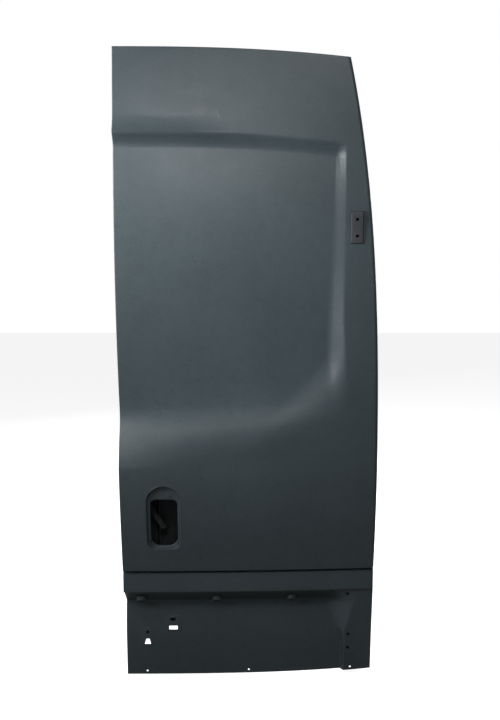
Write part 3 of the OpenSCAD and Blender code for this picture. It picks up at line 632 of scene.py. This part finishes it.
# Foot: holes as places from the meeting edge and the lower edge, and the pressed seats round them
oval_slot = (149.5, 185)
oval_size = (17, 10)
wide_slot = (151, 159)
wide_size = (27, 12)
wide_r = 2
peg_hole = (69, 145)
peg_r = 4.5
latch_hole = (69, 114)
latch_outline = [(-10, -9), (10, -9), (6, 9), (-4, 9)]
strap_hole = (hinge_x - 4, lip_z - 20.5)
drain_rise = 12
drain_in = 66
drain_r = 3
seat_press = 1.6
press_edge = 9
PRESSED_SEATS = [(150.5, 171, 27, 30), (68.5, 129, 22, 32)]
FOOT_ROWS = [44, 50, 30]
FOOT_COLS = [110, 34, 16]
foot_edge_r = 2


def foot_rows(x):
    return [foot_z(x), tuck_z, ledge_z, lip_z - 2]


def foot_cols(z):
    return [foot_inset, foot_ramp_x(z), foot_flush_x(z), leaf_w - foot_edge_in]


def pressed_foot_y(x, z):
    """The foot's face with shallow raised seats round its two groups of holes."""
    y = foot_y(x, z)
    for mid_x, mid_z, half_w, half_h in PRESSED_SEATS:
        inside = np.minimum(half_w - np.abs(x - mid_x), half_h - np.abs(z - mid_z))
        y = y - seat_press * ramp(inside / press_edge, 0.4, 0.4)
    return y


def make_foot_panel():
    r = spread(FOOT_ROWS)
    c = spread(FOOT_COLS)
    r[0] = foot_edge_r / tuck_z
    c[0] = foot_edge_r / ramp_x
    c[-1] -= foot_edge_r / (leaf_w - flush_x)
    r, c = r[:, None], c[None, :]
    z0 = along(foot_rows(leaf_w / 2), r)
    x = along(foot_cols(z0), c)
    side = edge_steps(foot_edge_r, flange_d)
    grid = turned(x, along(foot_rows(x), r), pressed_foot_y, side, side, edge_steps(foot_edge_r, hem_d))
    foot = sheet("foot_sheet", grid, foot_t, "primer", ("foot_panel",))
    holes = [prism(circle(hinge_hole_r), hinge_x, lower_hinge_z + s * hinge_pitch / 2) for s in (-1, 1)]
    holes += [prism(circle(peg_r), *q) for q in (peg_hole, strap_hole)]
    for x in (drain_in, leaf_w / 2, leaf_w - drain_in):
        holes.append(prism(circle(drain_r, 20), x, foot_z(x) + drain_rise))
    oval_r = oval_size[1] / 2 - 0.1
    holes.append(prism(slot_outline(*oval_size, oval_r, oval_r), *oval_slot))
    holes.append(prism(slot_outline(*wide_size, wide_r, wide_r, 4), *wide_slot))
    holes.append(prism(latch_outline, *latch_hole))
    cut(foot, holes)


# Handle pocket: rings from the turned edge of its aperture out to the skin
pocket_draft = 5
aperture_turn = 4
pocket_floor_r = 5
pocket_hole_r = 2.8
POCKET_HOLES = [
    (2.5, pocket_h / 2 - 20), (19, pocket_h / 2 - 42), (12 - pocket_w / 2, 24 - pocket_h / 2),
]


def on_skin(outline, x, z, depth):
    points = np.array(outline) + (x, z)
    return np.stack([points[:, 0], outer_y(points[:, 0], points[:, 1]) + depth, points[:, 1]], axis=-1)


def pocket_ring(inset, depth):
    w, h = pocket_w - 2 * inset, pocket_h - 2 * inset
    return on_skin(slot_outline(w, h, w / 2 - 0.01, pocket_r - inset, 20, 16), pocket_x, pocket_z, depth)


def aperture_ring(grow, depth):
    outline = slot_outline(aperture_w + 2 * grow, aperture_h + 2 * grow, aperture_head_r + grow,
                           aperture_r + grow, 20, 16)
    return on_skin(outline, pocket_x, pocket_z - aperture_drop, depth)


def make_handle_pocket():
    rings = np.stack([
        aperture_ring(0, pocket_d + aperture_turn), aperture_ring(0, pocket_d),
        pocket_ring(pocket_draft, pocket_d), pocket_ring(gap + 1, 1.5), pocket_ring(gap, 0.2),
    ])
    pocket = sheet("handle_pocket_sheet", rounded(rings, pocket_floor_r, 6), skin_t, "primer",
                   ("handle_pocket",), wrap=True)
    cut(pocket, [prism(circle(pocket_hole_r, 20), pocket_x + u, pocket_z + w) for u, w in POCKET_HOLES])


# Upper hinge seat: a pressed cap with rounded edges, open at the back
seat_edge_r = 3.2
seat_corner_r = 3
seat_middle_w = 4


def make_upper_hinge_seat():
    depth = seat_back - seat_y
    rows = [
        (seat_w - 2 * plate_t, seat_h - 2 * plate_t, depth), (seat_w, seat_h, depth),
        (seat_w, seat_h, 0), (seat_middle_w, seat_h - seat_w + seat_middle_w, 0),
    ]
    rings = []
    for w, h, deep in rows:
        r = min(seat_corner_r, w / 2 - 0.1)
        outline = slot_outline(w, h, r, r, 5, 6)
        rings.append(np.array([(hinge_x + u, seat_y + deep, upper_hinge_z + v) for u, v in outline]))
    inside = rings[0].copy()
    inside[:, 1] = seat_y + hinge_plate_t
    grid = np.concatenate([inside[None], rounded(np.stack(rings), seat_edge_r, 5, 1)])
    n, m = grid.shape[:2]
    faces = [(i * m + j, (i + 1) * m + j, (i + 1) * m + (j + 1) % m, i * m + (j + 1) % m)
             for i in range(n - 1) for j in range(m)]
    faces += [tuple((n - 1) * m + j for j in range(m)), tuple(range(m))[::-1]]
    points = grid.reshape(-1, 3)
    seat = new_piece("upper_hinge_seat_cap", points, faces, "primer", ("upper_hinge_seat",), 50)
    # The cap takes the seat coat: its own tone plus painted shade
    seat.data.materials[0] = SEAT_TONE_AND_SHADE
    mend_normals(seat)
    hole = circle(hinge_hole_r, 40)
    heights = [upper_hinge_z + s * hinge_pitch / 2 for s in (-1, 1)]
    cut(seat, [prism(hole, hinge_x, z, seat_y - 5, seat_back + 5) for z in heights], 50)


def mend_normals(piece):
    shape = bmesh.new()
    shape.from_mesh(piece.data)
    bmesh.ops.recalc_face_normals(shape, faces=shape.faces)
    shape.to_mesh(piece.data)
    shape.free()


# Clip cups: turned shapes, square to the ledge, with a stud in the two whose bright dot shows
cup_rise = 28
cup_z = ledge_z + cup_rise
cup_seat = 0.8
cup_taper = 3
cup_rim = 5
cup_floor = 2
cup_half = 6
stud_r = 3
stud_h = 7.5
cup_head_r = cup_r - cup_taper
cup_bore_r = cup_r - cup_rim
CUP_PROFILE = [
    (0, 0), (cup_r - 0.6, 0), (cup_r, 0.6),
    (cup_head_r, cup_d - 1), (cup_head_r - 0.3, cup_d - 0.3), (cup_head_r - 1, cup_d),
    (cup_bore_r + 0.7, cup_d - 0.3), (cup_bore_r, cup_d - 1),
    (cup_bore_r, cup_floor + 1.5), (cup_bore_r - 0.5, cup_floor + 0.5), (cup_bore_r - 1.5, cup_floor),
    (0, cup_floor),
]
STUD_PROFILE = [
    (0, cup_floor), (stud_r, cup_floor), (stud_r, stud_h - 0.8), (stud_r - 0.8, stud_h), (0, stud_h),
]


def lathe(name, profile, k, material, slot_name, replaced=(), steps=64):
    """Turned shape on the ledge at the k-th cup. The profile is radius and height, from axis to axis."""
    x = cup_x + k * cup_pitch
    rise = foot_y(x, cup_z - cup_half) - foot_y(x, cup_z + cup_half)
    lean = math.atan2(float(rise), 2 * cup_half)
    out = np.array([0, -math.cos(lean), -math.sin(lean)])
    up = np.array([0, -math.sin(lean), math.cos(lean)])
    seat = np.array([x, float(foot_y(x, cup_z)), cup_z]) + out * cup_seat
    angles = np.linspace(0, 2 * math.pi, steps, endpoint=False)
    ring = [math.cos(a) * np.array([1, 0, 0]) + math.sin(a) * up for a in angles]
    middle = profile[1:-1]
    points = [seat + out * profile[0][1], seat + out * profile[-1][1]]
    points += [seat + r * direction + h * out for r, h in middle for direction in ring]
    faces = []
    for i in range(len(middle) - 1):
        for j in range(steps):
            a, b = 2 + i * steps + j, 2 + i * steps + (j + 1) % steps
            faces.append((a, b, b + steps, a + steps))
    last = 2 + (len(middle) - 1) * steps
    for j in range(steps):
        faces.append((0, 2 + (j + 1) % steps, 2 + j))
        faces.append((1, last + j, last + (j + 1) % steps))
    piece = new_piece(name, np.array(points), faces, slot_name, replaced, 45)
    piece.data.materials[0] = material
    mend_normals(piece)
    return piece


def make_clip_cups():
    for k in range(3):
        node = "clip_cup_%d" % (k + 1)
        lathe(node + "_turned", CUP_PROFILE, k, PRIMER, "primer", (node,))
        if k > 0:
            lathe("clip_stud_%d" % (k + 1), STUD_PROFILE, k, STUD, "bare_plate", (), 24)


# The CAD's own nodes keep their shape and get rounded edges and their slot's material
edge_width = 0.0006


def finish_nodes():
    slots = {part["node"]: part["material_slot"] for part in frame["record"]["subparts"]}
    for name, node in frame["nodes"].items():
        node.data.materials.clear()
        node.data.materials.append(MATERIALS[slots[name]])
        bevel = node.modifiers.new("edges", "BEVEL")
        bevel.width = edge_width
        bevel.segments = 2
        bevel.limit_method = "ANGLE"
        bevel.angle_limit = math.radians(35)


make_outer_skin()
make_foot_panel()
make_handle_pocket()
make_upper_hinge_seat()
make_clip_cups()
finish_nodes()


# Studio: a pale floor that keeps the shadow, a white background and soft lamps
floor_under = 1.5
floor_reach = 6
floor_glow = 0.86
floor_pale = (0.8, 0.8, 0.8)
floor_dark = (0.06, 0.06, 0.06)


def make_floor():
    z = place((0, 0, -floor_under))[2]
    corners = [(sx * floor_reach, sy * floor_reach, z) for sx, sy in ((-1, -1), (1, -1), (1, 1), (-1, 1))]
    mesh = bpy.data.meshes.new("studio_floor")
    mesh.from_pydata(corners, [], [(0, 1, 2, 3)])
    floor = bpy.data.objects.new("studio_floor", mesh)
    bpy.context.scene.collection.objects.link(floor)
    material = bpy.data.materials.new("studio_floor")
    material.use_nodes = True
    tree = material.node_tree
    bsdf = tree.nodes["Principled BSDF"]
    tree.links.new(mixed(tree, white_share(tree), floor_dark, floor_pale), bsdf.inputs["Base Color"])
    bsdf.inputs["Roughness"].default_value = 0.9
    bsdf.inputs["Emission Color"].default_value = (1, 1, 1, 1)
    seen = math_node(tree, "MULTIPLY", white_share(tree), floor_glow)
    tree.links.new(seen, bsdf.inputs["Emission Strength"])
    mesh.materials.append(material)


gloss_share = 0.2


def white_share(tree):
    """1 for what the camera sees, less for what satin paint reflects, and 0 for light on the object."""
    path = node_of(tree, "ShaderNodeLightPath")
    seen = math_node(tree, "MAXIMUM", path.outputs["Is Camera Ray"], path.outputs["Is Transmission Ray"])
    glossy = math_node(tree, "MULTIPLY", path.outputs["Is Glossy Ray"], gloss_share)
    return math_node(tree, "MAXIMUM", seen, glossy)


def area_light(name, at, aim, size, power, spread_deg=180):
    data = bpy.data.lights.new(name, "AREA")
    data.shape = "RECTANGLE"
    data.size, data.size_y = size
    data.energy = power
    data.spread = math.radians(spread_deg)
    light = bpy.data.objects.new(name, data)
    bpy.context.scene.collection.objects.link(light)
    light.location = Vector(place(at))
    light.rotation_euler = (Vector(place(aim)) - light.location).to_track_quat("-Z", "Y").to_euler()
    light.visible_camera = False


# Lamps: name, place, aim, size in metres, power in watts, spread in degrees
LAMPS = [
    ("left_key", (-1500, -1200, 2000), (390, 60, 1000), (0.8, 0.8), 12.6, 180),
    ("left_upper", (-1500, -1200, 1600), (390, 60, 1400), (0.8, 0.8), 4, 60),
    ("front_upper", (200, -1400, 2200), (250, 60, 1200), (0.6, 0.5), 1.2, 60),
    ("top_right", (900, -900, 2650), (300, 60, 1300), (0.9, 0.6), 5.2, 180),
    ("near_left", (-700, -250, 1800), (300, 60, 1800), (0.5, 0.7), 8, 180),
    ("back_left", (-600, 2200, 2200), (390, 130, 1000), (1.4, 1.0), 60, 180),
    ("back_right", (1700, 1900, 1300), (390, 130, 900), (1.0, 1.0), 30, 180),
]
world_light = 0.03


def make_world():
    world = bpy.data.worlds.new("studio")
    world.use_nodes = True
    tree = world.node_tree
    mix = node_of(tree, "ShaderNodeMix", data_type="FLOAT")
    mix.inputs[2].default_value = world_light
    mix.inputs[3].default_value = 1.0
    tree.links.new(white_share(tree), mix.inputs[0])
    background = tree.nodes["Background"]
    background.inputs["Color"].default_value = (1, 1, 1, 1)
    tree.links.new(mix.outputs[0], background.inputs["Strength"])
    bpy.context.scene.world = world


# Camera: focal length in pixels of the 720 high picture, place in leaf millimetres
FOCAL_PX = 1091.6
PICTURE_H = 720
CAMERA_PITCH = 12.0
CAMERA_AT = (394.0, -3129, 1711.9)


def make_camera():
    data = bpy.data.cameras.new("camera")
    data.sensor_width = 36
    data.lens = data.sensor_width * FOCAL_PX / PICTURE_H
    camera = bpy.data.objects.new("camera", data)
    bpy.context.scene.collection.objects.link(camera)
    camera.location = Vector(place(CAMERA_AT))
    camera.rotation_euler = (math.radians(90 - CAMERA_PITCH), 0, 0)
    bpy.context.scene.camera = camera


make_floor()
for lamp in LAMPS:
    area_light(*lamp)
make_world()
make_camera()
bpy.context.scene.view_settings.view_transform = "Standard"
